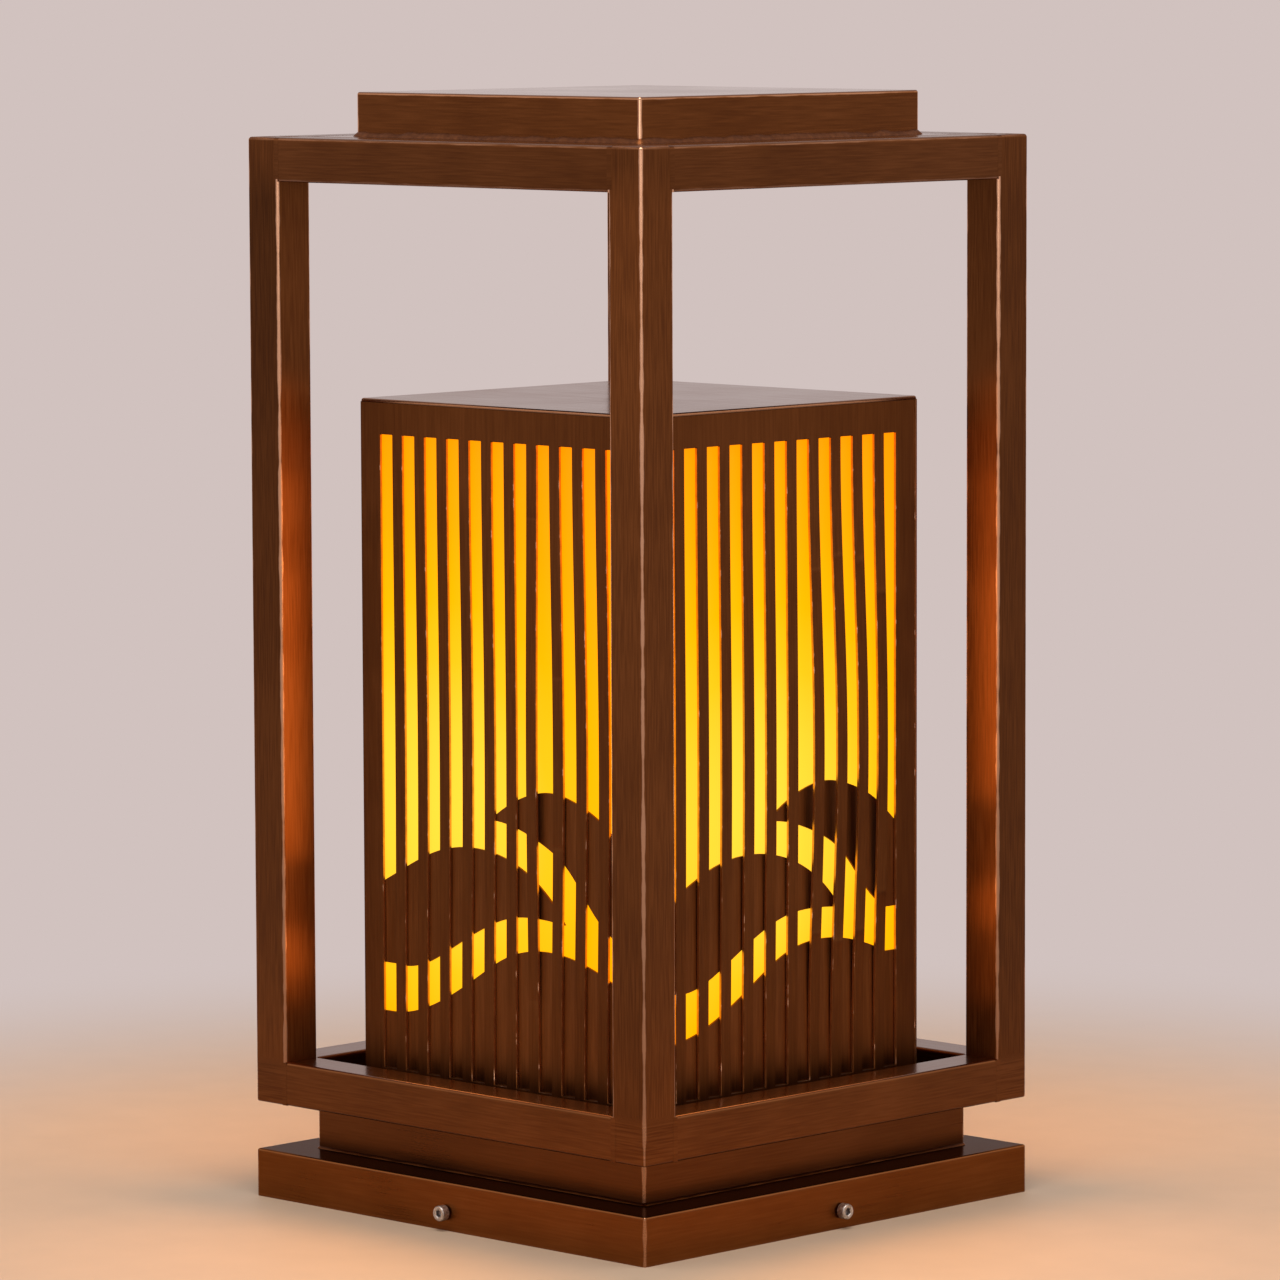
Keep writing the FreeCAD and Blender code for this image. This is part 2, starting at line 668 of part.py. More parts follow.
for corner, angle in CORNERS.items():
    nodes["post_" + corner] = turned(post(), angle)
for side, angle in SIDES.items():
    nodes["bottom_rail_" + side] = turned(rail(z_frame), angle)
    nodes["top_rail_" + side] = turned(rail(z_roof - TUBE, roof_edge=True), angle)
    nodes["slat_panel_" + side] = turned(slat_panel(), angle)
    nodes["hill_plate_" + side] = turned(hill_plate(), angle)
    nodes["diffuser_" + side] = turned(diffuser(), angle)
    nodes["clamp_screw_" + side] = turned(clamp_screw(), angle)

os.makedirs("parts", exist_ok=True)
for name, shape in nodes.items():
    shape.exportStep("parts/" + name + ".step")
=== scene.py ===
import math

import bpy
from mathutils import Matrix, Vector, noise

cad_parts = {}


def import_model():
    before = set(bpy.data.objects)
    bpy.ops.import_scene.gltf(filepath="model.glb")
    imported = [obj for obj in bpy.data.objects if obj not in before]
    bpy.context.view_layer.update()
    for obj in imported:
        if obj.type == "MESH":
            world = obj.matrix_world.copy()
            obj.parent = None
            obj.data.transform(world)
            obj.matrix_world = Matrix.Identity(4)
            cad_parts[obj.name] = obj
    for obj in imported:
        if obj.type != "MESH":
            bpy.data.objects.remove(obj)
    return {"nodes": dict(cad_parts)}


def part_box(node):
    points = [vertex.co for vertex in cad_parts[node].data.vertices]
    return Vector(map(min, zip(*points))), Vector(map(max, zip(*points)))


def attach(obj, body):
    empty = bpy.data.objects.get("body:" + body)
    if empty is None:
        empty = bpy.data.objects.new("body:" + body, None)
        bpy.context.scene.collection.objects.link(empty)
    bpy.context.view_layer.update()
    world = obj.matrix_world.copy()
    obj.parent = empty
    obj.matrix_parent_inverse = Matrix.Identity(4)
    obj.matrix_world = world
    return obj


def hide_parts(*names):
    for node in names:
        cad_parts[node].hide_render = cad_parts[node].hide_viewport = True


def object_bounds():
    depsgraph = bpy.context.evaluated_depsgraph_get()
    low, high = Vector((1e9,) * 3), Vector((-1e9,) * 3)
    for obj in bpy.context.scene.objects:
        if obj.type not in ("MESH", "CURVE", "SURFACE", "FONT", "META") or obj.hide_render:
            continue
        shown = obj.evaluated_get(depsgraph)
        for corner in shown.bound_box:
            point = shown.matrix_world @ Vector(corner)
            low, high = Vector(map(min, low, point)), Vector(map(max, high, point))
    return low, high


# Looks of the gate light: brushed copper-brown metal round an amber shade that is lit from inside.
# Metres, in the frame of the solids. Pieces of one side are made for the front and turned about the Z axis.

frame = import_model()
cad_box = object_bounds()
nodes = frame["nodes"]

MM = 0.001
SIDES = {"front": 0, "right": 90, "back": 180, "left": 270}  # turn from the front, in degrees

# Camera, as fitted to the photograph
LENS = 190.35
SENSOR = 36.0
AZIMUTH = 44.596
ELEVATION = 5.858
ROLL = -0.211
DISTANCE = 3.08687
AIM_SIDEWAYS = 0.00013
AIM_HEIGHT = 0.25579

# Slotted panels
SLOT_COUNT = 11
SLOT_PITCH = 14.4 * MM
SLOT_W = 8.0 * MM
SLOT_SILL = 7.0 * MM
SLOT_HEAD = 14.5 * MM  # panel's upper edge to the slots
SLAT_EDGE = 0.2 * MM  # worn bevel of the cut edges
SLAT_EDGE_TURN = 60  # least angle of an edge that gets it, in degrees
SLAT_ROWS = 30
BOW_FOOT = 70 * MM  # heights between which the slats bow
BOW_TOP = 350 * MM

# How far each slat has bowed outwards and swayed sideways at half height, in millimetres, left to right
SLAT_BOW = {
    "front": [0.0, 0.0, 0.2, 0.0, 0.0, 0.3, 2.0, 0.3, 0.0, 0.0],
    "right": [0.6, 0.7, 0.8, 0.9, 0.9, 0.9, 3.4, 4.0, 3.6, 2.4],
    "back": [0.3, 0.0, 0.8, 1.2, 0.6, 0.2, 0.0, 0.5, 0.4, 0.0],
    "left": [0.0, 0.6, 1.4, 1.8, 1.1, 0.3, 0.0, 0.0, 0.7, 0.2],
}
SLAT_SWAY = {
    "front": [0.6, 1.0, 1.1, 1.3, 1.2, 1.0, 0.9, 1.9, 1.9, 1.6],
    "right": [0.0, 0.2, 0.3, 0.3, 0.2, 0.0, 0.2, 0.3, 0.3, 0.2],
    "back": [0.1, 0.3, 0.0, -0.2, 0.2, 0.4, 0.1, 0.0, -0.3, 0.0],
    "left": [0.2, 0.0, 0.2, 0.3, 0.0, -0.2, 0.2, 0.3, 0.1, 0.0],
}

# Glow of the amber sheets, which falls off with the distance from a point behind each of them
GLOW_ASIDE = {"front": -40 * MM, "right": -10 * MM, "back": 0.0, "left": 0.0}
GLOW_BEHIND = 33 * MM  # from the axis, away from the sheet
GLOW_HEIGHT = 180 * MM
GLOW_NEAR = 120 * MM
GLOW_FAR = 228 * MM
GLOW_STRENGTH = 1.3

# Its colour from near to far, linear
GLOW_STOPS = [
    (0.0, (1.0, 0.588, 0.038, 1.0)),
    (0.18, (1.0, 0.468, 0.007, 1.0)),
    (0.33, (1.0, 0.4, 0.0, 1.0)),
    (0.56, (1.0, 0.33, 0.0, 1.0)),
    (1.0, (1.0, 0.246, 0.0, 1.0)),
]

# Light that leaves the shade, from patches in front of each panel
GLOW_POWER = {"front": 24.0, "right": 25.0, "back": 25.0, "left": 25.0}  # watts a square metre of panel
GLOW_COLOR = (1.0, 0.47, 0.16)
GLOW_SPREAD = math.radians(160)  # the slats hold back what would leave at a flatter angle
GLOW_GAP = 7 * MM  # panel to the first patch
GLOW_LAYER = 0.2 * MM  # one patch to the next, because lamps in one plane would hide each other

# The patches: left and right end in halves of a panel, foot and top in millimetres, share of the power
GLOW_PATCHES = [
    (-1, 1, 84, 372, 0.25),
    (-1, 0, 97, 119, 0.6),
    (-1, 0, 152, 330, 0.45),
    (-1, 0, 152, 285, 0.3),
    (0, 1, 119, 139, 0.55),
    (0, 1, 178, 330, 0.45),
    (0, 1, 178, 285, 0.3),
]

# Studio
FILL = 0.35
FILL_COLOR = (1.0, 0.96, 0.93, 1.0)
LAMP_COLOR = (1.0, 0.95, 0.91)
FLOOR_R = 6.0
FLOOR_STEPS = 96
FLOOR_FADE = (0.3, 0.75)  # distances from the middle between which the floor turns into the wall
FLOOR_SPECKLE = 0.96  # tone of its darker specks

# Clamp screws, M4
SCREW_D = 4.0 * MM
SCREW_PITCH = 0.7 * MM
SCREW_THREAD_DEPTH = 0.4 * MM
SCREW_HEAD_H = 4.0 * MM
SCREW_KEY = 3.0 * MM
SCREW_KEY_DEPTH = 2.0 * MM
SCREW_BEVEL = 0.4 * MM
KNURLS = 32
KNURL_STEPS = 3  # points round each knurl, of which one is its groove
KNURL_DEPTH = 0.12 * MM
SCREW_STEPS = KNURLS * KNURL_STEPS
SHANK_STEPS = 24

# Threaded stem
STEM_PITCH = 1.0 * MM
STEM_THREAD_DEPTH = 0.45 * MM
STEM_BORE = 7.0 * MM
STEM_STEPS = 28

# Screw cap of the bulb
BULB_PITCH = 3.62 * MM
BULB_THREAD_DEPTH = 0.9 * MM
BULB_CONE_H = 5.5 * MM  # under the thread
BULB_CONE_IN = 1.2 * MM  # how much the radius of its upper end is smaller than the thread's
BULB_COLLAR_H = 3.0 * MM  # over the thread
BULB_COLLAR_IN = 0.3 * MM  # the same for the collar
BULB_RUN_OUT = 0.6 * MM  # thread to the cone, and to the collar
BULB_STEPS = 48

# Paths round a square
CORNER_STEPS = 6  # of a rounded corner
CORNER_GUARD = 9  # a ninth of its radius before it, one more point keeps the straight run flat

# Beads of sealant and weld
CAP_BEAD = 2.0 * MM
PLINTH_BEAD = 1.1 * MM
BEAD_STEP = 2.5 * MM
BEAD_ROOT = 0.3 * MM  # how far a bead reaches into the box that it is laid round
BEAD_PROFILE = ((1.0, 0.0), (0.8, 0.3), (0.4, 0.65), (0.0, 1.0))  # shares of its width and height
BEAD_LUMPS = ((90, 0.55), (330, 0.45))  # waves a metre in its width, and their shares
BEAD_RISE = 150  # waves a metre in its height
BEAD_RISE_SHIFT = Vector((9, 4, 2))
BEAD_SHARP = 60  # edges that turn by more degrees aren't smoothed
SHEET_CORNER = 1.2 * MM

# Welds that are ground flush
WELD_ON_RAIL = 0.6 * MM
WELD_IN_POST = 2.2 * MM
WELD_PROUD = 0.03 * MM
ROOF_WELD_W = 3.0 * MM
ROOF_WELD_H = 1.0 * MM
ROOF_WELD_STEP = 20 * MM
TUBE_CORNER = 1.5 * MM

# Tone of each post, partly patina and partly painted light and shade: at foot and top of its faces to front
# and back, and on those to the sides, whose own tone is painted light and shade for light that falls from
# one side
POST_TONE_AND_LIGHT = {
    "front_right": (0.9, 1.44, 1.14),
    "back_right": (0.92, 0.92, 0.88),
    "back_left": (0.9, 0.9, 0.9),
    "front_left": (1.12, 0.58, 1.15),
}
POST_FINISH = {"upright": 0.95, "level": 0.1, "roughness": 0.46, "hairlines": 1.0}
JOINT_TONE = 0.92  # beside the top rails, where the posts are ground flush with them
JOINT_FADE = 8 * MM  # the change to it starts so far below these rails and ends so far below the post's top
FOOT_FADE = (-2 * MM, 1 * MM)  # about the bottom rails' upper side, where a post's own finish starts

# Rails: polish along their edges, partly a painted highlight, tone of their patina and rounding of the welds
# at their ends
RAILS = {"bottom_rail": (0.03, 0.95, 0.4 * MM), "top_rail": (0.14, 0.77, TUBE_CORNER)}
RAIL_ROUGHNESS = 0.32

# Sheets of base, roof and shade: polish along upright and level edges, partly a painted highlight, and the
# rest of their finish
SHEETS = {
    "base_skirt": {"upright": 0.9, "level": 0.08, "roughness": 0.3, "rim": 0.4, "tone": 1.12,
                   "hairlines": 0.35},
    # The plinth's low tone is painted shade under the overhang of the bottom rails
    "plinth": {"upright": 0.9, "level": 0.0, "roughness": 0.3, "tone": 0.78, "hairlines": 0.35},
    "top_cap": {"upright": 0.95, "level": 0.2, "roughness": 0.19, "tone": 0.94},
    "top_plate": {"upright": 0.0, "level": 0.0, "roughness": 0.22},
    "shade_lid": {"upright": 0.3, "level": 0.2, "roughness": 0.27},
}

# Brushed metal
GRAIN_ALONG = 45.0  # waves a metre
GRAIN_ACROSS = 1200.0
BROAD_GRAIN = 0.17  # waves of the broad streaks, against those of the hairlines
BROAD_SHARE = 0.09
CLOUD_SCALE = 17
CLOUD_SHARE = 0.43
PATINA_REACH = 0.14  # of the sum of these patterns, either way
GLOSS_SWING = 0.04  # roughness that goes with it, either way
LEVEL_POLISH = 0.1  # how much smoother level faces are
UPRIGHT_SPREAD = 0.8  # how much upright grain spreads reflections sideways
FINE_RELIEF = 0.02 * MM

# Polished metal along worn edges, partly real wear and partly a painted highlight on their rounding
WEAR_FULL = 0.85 * MM  # width that is all polished
WEAR_END = 1.35 * MM  # width where it has faded out
WEAR_SHAKE = (-0.35 * MM, 0.45 * MM)  # what the width varies by
# The fade towards the foot is a painted highlight, dimmer low down as under a light from above
WEAR_FOOT = 0.3  # share of it that is left at the lantern's foot
WEAR_POLISH = 0.12  # how much smoother polished metal is

FACE_TURN = (0.6, 0.8)  # parts of a normal along an axis that count as not facing that way, and as facing it
NOISE_SPAN = (0.3, 0.7)  # where the values of a noise texture mostly lie


def srgb(red, green, blue):
    """Colour written as it shows on screen, 0 to 255, as the linear values that a shader takes."""
    parts = []
    for level in (red / 255, green / 255, blue / 255):
        parts.append(level / 12.92 if level <= 0.04045 else ((level + 0.055) / 1.055) ** 2.4)
    return (*parts, 1.0)


def toned(color, tone):
    return (*(part * tone for part in color[:3]), 1.0)


BRONZE = srgb(109, 63, 29)
BRONZE_DARK = srgb(98, 55, 25)
BRONZE_LIGHT = srgb(120, 71, 35)
WELD_DARK = srgb(62, 34, 18)
# Bright copper of worn edges, also a painted highlight on their rounding
COPPER_WORN_AND_HIGHLIGHT = srgb(236, 184, 147)
COPPER_CUT = srgb(222, 174, 128)
COPPER_DULL = srgb(196, 148, 104)
# Dark colour of the painted shade inside the slots
RECESS_SHADE = srgb(26, 14, 8)
WALL = srgb(209, 194, 191)
FLOOR = srgb(219, 192, 165)


class Look:
    """A material, with short calls for the nodes in it."""

    def __init__(self, name):
        self.material = bpy.data.materials.new(name)
        self.material.use_nodes = True
        self.tree = self.material.node_tree
        self.skin = self.tree.nodes["Principled BSDF"]
        coords = self.tree.nodes.new("ShaderNodeTexCoord")
        self.place = coords.outputs["Object"]
        self.normal = coords.outputs["Normal"]

    def put(self, socket, value):
        """Links a socket to another one, or sets its value."""
        if isinstance(value, bpy.types.NodeSocket):
            self.tree.links.new(value, socket)
        else:
            socket.default_value = value

    def set(self, **values):
        """Sets inputs of the surface shader, with underscores for blanks in their names."""
        for name, value in values.items():
            self.put(self.skin.inputs[name.replace("_", " ")], value)

    def math(self, operation, *values):
        node = self.tree.nodes.new("ShaderNodeMath")
        node.operation = operation
        for socket, value in zip(node.inputs, values):
            self.put(socket, value)
        return node.outputs[0]

    def vector(self, operation, first, second=(0.0, 0.0, 0.0)):
        node = self.tree.nodes.new("ShaderNodeVectorMath")
        node.operation = operation
        self.put(node.inputs[0], first)
        self.put(node.inputs[1], second)
        return node.outputs["Value" if operation == "DISTANCE" else "Vector"]

    def split(self, vector):
        node = self.tree.nodes.new("ShaderNodeSeparateXYZ")
        self.put(node.inputs[0], vector)
        return node.outputs

    def join(self, x, y, z):
        node = self.tree.nodes.new("ShaderNodeCombineXYZ")
        for socket, value in zip(node.inputs, (x, y, z)):
            self.put(socket, value)
        return node.outputs[0]

    def remap(self, value, low, high, to_low=0.0, to_high=1.0):
        node = self.tree.nodes.new("ShaderNodeMapRange")
        for socket, entry in zip(node.inputs, (value, low, high, to_low, to_high)):
            self.put(socket, entry)
        return node.outputs[0]

    def between(self, pattern, to_low, to_high):
        """Spreads a noise pattern from one value to another."""
        return self.remap(pattern, *NOISE_SPAN, to_low, to_high)

    def noise(self, vector, scale, detail=2.0):
        node = self.tree.nodes.new("ShaderNodeTexNoise")
        self.put(node.inputs["Vector"], vector)
        node.inputs["Scale"].default_value = scale
        node.inputs["Detail"].default_value = detail
        return node.outputs["Fac"]

    def cells(self, scale):
        """A shade of its own for each of many small cells."""
        node = self.tree.nodes.new("ShaderNodeTexVoronoi")
        self.put(node.inputs["Vector"], self.place)
        node.inputs["Scale"].default_value = scale
        return self.split(node.outputs["Color"])[0]

    def ramp(self, value, *stops):
        node = self.tree.nodes.new("ShaderNodeValToRGB")
        self.put(node.inputs[0], value)
        while len(node.color_ramp.elements) < len(stops):
            node.color_ramp.elements.new(0.5)
        for element, (position, color) in zip(node.color_ramp.elements, stops):
            element.position = position
            element.color = color
        return node.outputs["Color"]

    def mix(self, share, first, second):
        """Mixes two colours."""
        node = self.tree.nodes.new("ShaderNodeMix")
        node.data_type = "RGBA"
        for index, value in ((0, share), (6, first), (7, second)):
            self.put(node.inputs[index], value)
        return node.outputs[2]

    def bump(self, height, depth, strength=0.5):
        node = self.tree.nodes.new("ShaderNodeBump")
        node.inputs["Strength"].default_value = strength
        node.inputs["Distance"].default_value = depth
        self.put(node.inputs["Height"], height)
        self.put(self.skin.inputs["Normal"], node.outputs[0])


def facing_up(look):
    """1 on level faces, 0 on upright ones."""
    return look.remap(look.math("ABSOLUTE", look.split(look.normal)[2]), *FACE_TURN)


def above_rail(look):
    """0 at a post's foot, which is brushed level with the bottom rails, and 1 above them."""
    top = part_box("bottom_rail_front")[1][2]
    low, high = FOOT_FADE
    return look.remap(look.split(look.place)[2], top + low, top + high)


def grain_vector(look, grain):
    """Coordinates stretched along the brushing.

    The grain is that of a post, level round the sides of a sheet, or along one axis.
    """
    if grain == "post":
        sideways = look.remap(above_rail(look), 0, 1, GRAIN_ALONG, GRAIN_ACROSS)
        upwards = look.remap(above_rail(look), 0, 1, GRAIN_ACROSS, GRAIN_ALONG)
        return look.vector("MULTIPLY", look.place, look.join(sideways, sideways, upwards))
    if grain == "level":
        y_scale = look.remap(facing_up(look), 0, 1, GRAIN_ALONG, GRAIN_ACROSS)
        return look.vector("MULTIPLY", look.place, look.join(GRAIN_ALONG, y_scale, GRAIN_ACROSS))
    scale = [GRAIN_ALONG if axis == grain else GRAIN_ACROSS for axis in "xyz"]
    return look.vector("MULTIPLY", look.place, scale)


def edge_wear_and_highlight(look, node, upright, level):
    """Share of polished metal along the edges of a boxy node: its upright edges and its level ones. It is
    partly real wear and partly a painted highlight, fading towards the foot.
    """
    low, high = (Vector(corner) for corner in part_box(node))
    middle = [abs(value) for value in (low + high) / 2]
    folded = look.vector("ABSOLUTE", look.place)
    offset = look.vector("ABSOLUTE", look.vector("SUBTRACT", folded, middle))
    x, y, z = look.split(look.vector("SUBTRACT", (high - low) / 2, offset))
    shake = look.between(look.noise(look.place, 70, 3), *WEAR_SHAKE)
    to_upright = look.math("MAXIMUM", x, y)
    to_level = look.math("MAXIMUM", look.math("MINIMUM", x, y), z)
    masks = []
    for share, distance in ((upright, to_upright), (level, to_level)):
        masks.append(look.remap(look.math("ADD", distance, shake), WEAR_FULL, WEAR_END, share, 0.0))
    # Painted highlight: the polish fades towards the lantern's foot
    painted_highlight_fade = look.remap(look.split(look.place)[2], 0.0, cad_box[1][2], WEAR_FOOT, 1.0)
    return look.math("MULTIPLY", look.math("MAXIMUM", *masks), painted_highlight_fade)


def post_tone_and_light(look, foot_tone, top_tone, side_painted_light):
    """Tone of a post, partly patina and partly painted light and shade: one for each way that a face looks,
    which fades out beside the top rails.

    Beside the bottom rails it is theirs.
    """
    low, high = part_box("post_front_right")
    height = look.split(look.place)[2]
    tone = look.remap(height, low[2], high[2], foot_tone, top_tone)
    # Painted light and shade: faces to the sides get a tone of their own, for light that falls from one side
    side_lit_tone = look.remap(look.math("ABSOLUTE", look.split(look.normal)[0]), *FACE_TURN, tone, side_painted_light)
    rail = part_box("top_rail_front")[0][2]
    upper = look.remap(height, rail - JOINT_FADE, high[2] - JOINT_FADE, side_lit_tone, JOINT_TONE)
    return look.remap(above_rail(look), 0, 1, RAILS["bottom_rail"][1], upper)


def grain_patterns(look, grain, hairlines):
    """Fine lines along the grain, and the patina: their sum with broad streaks and clouds, about 0."""
    lines = grain_vector(look, grain)
    fine = look.noise(lines, 1.0, 3)
    broad = look.noise(lines, BROAD_GRAIN)
    cloud = look.noise(look.place, CLOUD_SCALE, 3)
    patina = 0.0
    for pattern, share in ((fine, hairlines), (broad, BROAD_SHARE), (cloud, CLOUD_SHARE)):
        patina = look.math("MULTIPLY_ADD", look.math("SUBTRACT", pattern, 0.5), share, patina)
    return fine, patina


def brushed_bronze(name, grain, node=None, upright=0.0, level=0.0, roughness=0.27, rim=1.0, tone=1.0,
                   hairlines=0.55):
    """Copper-brown metal with hairlines along the grain, cloudy patina and polished edges, which also carry
    a painted highlight.

    Upright and level are the shares of polished metal along such edges of the node, rim tints what shows
    at a grazing angle, tone lightens or darkens the patina and on posts, plinth and hills also paints light
    and shade, and hairlines is how strongly they show. The tone of a post is an entry of the table of post
    tones.
    """
    look = Look(name)
    fine, patina = grain_patterns(look, grain, hairlines)
    stops = [(0.0, BRONZE_DARK), (0.5, BRONZE), (1.0, BRONZE_LIGHT)]
    gloss = look.remap(patina, -PATINA_REACH, PATINA_REACH, roughness - GLOSS_SWING, roughness + GLOSS_SWING)
    gloss = look.math("SUBTRACT", gloss, look.math("MULTIPLY", facing_up(look), LEVEL_POLISH))
    shade = look.remap(patina, -PATINA_REACH, PATINA_REACH)
    if grain == "post":
        color = look.vector("MULTIPLY", look.ramp(shade, *stops), look.join(*[post_tone_and_light(look, *tone)] * 3))
        gloss = look.math("ADD", gloss, look.remap(above_rail(look), 0, 1, RAIL_ROUGHNESS - roughness, 0.0))
    else:
        color = look.ramp(shade, *[(place, toned(stop, tone)) for place, stop in stops])
    if node:
        worn_and_lit = edge_wear_and_highlight(look, node, upright, level)
        color = look.mix(worn_and_lit, color, COPPER_WORN_AND_HIGHLIGHT)
        gloss = look.math("SUBTRACT", gloss, look.math("MULTIPLY", worn_and_lit, WEAR_POLISH))
    look.set(Base_Color=color, Metallic=1.0, Roughness=gloss, Specular_Tint=(rim, rim, rim, 1.0))
    if grain in ("z", "post"):
        look.set(Anisotropic=UPRIGHT_SPREAD)
    look.bump(fine, FINE_RELIEF, 0.2)
    return look.material


def weld_bronze():
    """Ground weld in the metal's colour, with darker burnt patches."""
    look = Look("weld_bronze")
    burn = look.noise(look.place, 14, 2)
    color = look.ramp(burn, (0.28, WELD_DARK), (0.4, BRONZE_DARK), (0.6, BRONZE))
    look.set(Base_Color=color, Metallic=1.0, Roughness=look.between(burn, 0.42, 0.32))
    look.bump(look.noise(look.place, 900), FINE_RELIEF, 0.2)
    return look.material


def worn_copper(name, *stops):
    """Cut metal of the slats, its patina broken up between the stops, with painted shade on faces that look
    up or down, such as the slots' sills and heads.
    """
    look = Look(name)
    patches = look.noise(look.place, 160, 4)
    # Painted shade: faces that look up or down, the sills and heads in the slots, are darkened
    recess_shade = look.remap(look.math("ABSOLUTE", look.split(look.normal)[2]), 0.3, 0.6, 0.0, 0.9)
    color = look.mix(recess_shade, look.ramp(patches, *stops), RECESS_SHADE)
    look.set(Base_Color=color, Metallic=1.0, Roughness=look.between(patches, 0.42, 0.26))
    return look.material


def sealant():
    """Brown bead with a slight gloss and small lumps."""
    look = Look("brown_sealant")
    lumps = look.noise(look.place, 420, 3)
    color = look.ramp(lumps, (0.35, BRONZE_DARK), (0.65, BRONZE_LIGHT))
    look.set(Base_Color=color, Metallic=0.85, Roughness=look.between(lumps, 0.45, 0.35))
    look.bump(lumps, 0.15 * MM, 0.4)
    return look.material


def amber_acrylic(side):
    """Amber sheet of one side that glows yellow near the bulb and orange away from it."""
    look = Look("amber_acrylic_" + side)
    source = side_turn(side) @ Vector((GLOW_ASIDE[side], GLOW_BEHIND, GLOW_HEIGHT))
    reach = look.remap(look.vector("DISTANCE", look.place, source), GLOW_NEAR, GLOW_FAR)
    look.set(Base_Color=srgb(150, 84, 8), Roughness=0.5, Specular_IOR_Level=0.06,
             Emission_Color=look.ramp(reach, *GLOW_STOPS), Emission_Strength=GLOW_STRENGTH)
    look.bump(look.noise(look.place, 240), 0.05 * MM, 0.1)
    return look.material


def screw_steel(name, dark, light):
    """Turned steel of the clamp screws."""
    look = Look(name)
    marks = look.noise(look.place, 900, 3)
    color = look.ramp(marks, (0.3, dark), (0.7, light))
    look.set(Base_Color=color, Metallic=1.0, Roughness=look.between(marks, 0.34, 0.5))
    look.bump(marks, FINE_RELIEF, 0.2)
    return look.material


def zinc_steel():
    """Galvanised sheet and zinc-plated hardware with faint spangle."""
    look = Look("zinc_steel")
    spangle = look.cells(150)
    haze = look.noise(look.place, 45, 4)
    shade = look.math("ADD", look.math("MULTIPLY", spangle, 0.35), look.math("MULTIPLY", haze, 0.65))
    color = look.ramp(shade, (0.25, srgb(140, 143, 147)), (0.7, srgb(190, 192, 194)))
    look.set(Base_Color=color, Metallic=1.0, Roughness=look.remap(shade, 0.2, 0.8, 0.28, 0.48))
    look.bump(look.noise(look.place, 700), FINE_RELIEF, 0.2)
    return look.material


def extruded_aluminium(name):
    """Aluminium with fine drawing lines along its height."""
    look = Look(name)
    lines = look.noise(look.vector("MULTIPLY", look.place, (1400.0, 1400.0, 9.0)), 1.0, 3)
    color = look.ramp(lines, (0.3, srgb(176, 178, 181)), (0.7, srgb(214, 215, 217)))
    look.set(Base_Color=color, Metallic=1.0, Roughness=look.between(lines, 0.26, 0.42))
    look.bump(lines, FINE_RELIEF, 0.2)
    return look.material


def brass():
    """Brass with patches of tarnish."""
    look = Look("plain_brass")
    tarnish = look.noise(look.place, 130, 4)
    color = look.ramp(tarnish, (0.32, srgb(150, 112, 52)), (0.62, srgb(214, 178, 98)))
    look.set(Base_Color=color, Metallic=1.0, Roughness=look.between(tarnish, 0.42, 0.24))
    look.bump(tarnish, FINE_RELIEF, 0.2)
    return look.material


def nickel():
    """Nickel-plated sheet with fine level lines."""
    look = Look("bulb_nickel")
    marks = look.noise(look.vector("MULTIPLY", look.place, (60.0, 60.0, 900.0)), 1.0, 3)
    color = look.ramp(marks, (0.3, srgb(158, 156, 150)), (0.7, srgb(208, 206, 200)))
    look.set(Base_Color=color, Metallic=1.0, Roughness=look.between(marks, 0.2, 0.36))
    return look.material


def moulded(name, dark, light, roughness, lumps=600):
    """Moulded plastic, rubber or ceramic with a fine surface."""
    look = Look(name)
    pores = look.noise(look.place, lumps, 3)
    haze = look.noise(look.place, 40, 3)
    shade = look.math("ADD", look.math("MULTIPLY", pores, 0.4), look.math("MULTIPLY", haze, 0.6))
    look.set(Base_Color=look.ramp(shade, (0.35, dark), (0.65, light)),
             Roughness=look.between(pores, roughness - 0.08, roughness + 0.08))
    look.bump(pores, 0.04 * MM, 0.25)
    return look.material


def opal_glow():
    """Opal cover of the bulb, brightest at its crown."""
    look = Look("bulb_opal")
    low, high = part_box("bulb_globe")
    height = look.remap(look.split(look.place)[2], low[2], high[2])
    stops = [(0.0, srgb(255, 214, 150)), (0.6, srgb(255, 232, 190)), (1.0, srgb(255, 238, 206))]
    look.set(Base_Color=srgb(240, 228, 204), Roughness=0.35, Emission_Color=look.ramp(height, *stops),
             Emission_Strength=0.9)
    look.bump(look.noise(look.place, 900), FINE_RELIEF, 0.15)
    return look.material


def dress(material, *names):
    """Gives nodes of the frame a material."""
    for name in names:
        nodes[name].material_slots[0].material = material


def each(stem):
    """Names of the nodes on all four sides."""
    return [stem + "_" + side for side in SIDES]


def side_turn(side):
    """Turn from the front to a side."""
    return Matrix.Rotation(math.radians(SIDES[side]), 4, "Z")


def ring(radius, z, steps):
    """Points on a level circle about the Z axis."""
    turns = [2 * math.pi * step / steps for step in range(steps)]
    return [Vector((radius * math.cos(turn), radius * math.sin(turn), z)) for turn in turns]


def shaped_ring(z, steps, radius_at):
    """Points on a level ring whose radius is a function of the step and the height."""
    points = ring(1.0, z, steps)
    for step, point in enumerate(points):
        size = radius_at(step, z)
        point.x *= size
        point.y *= size
    return points


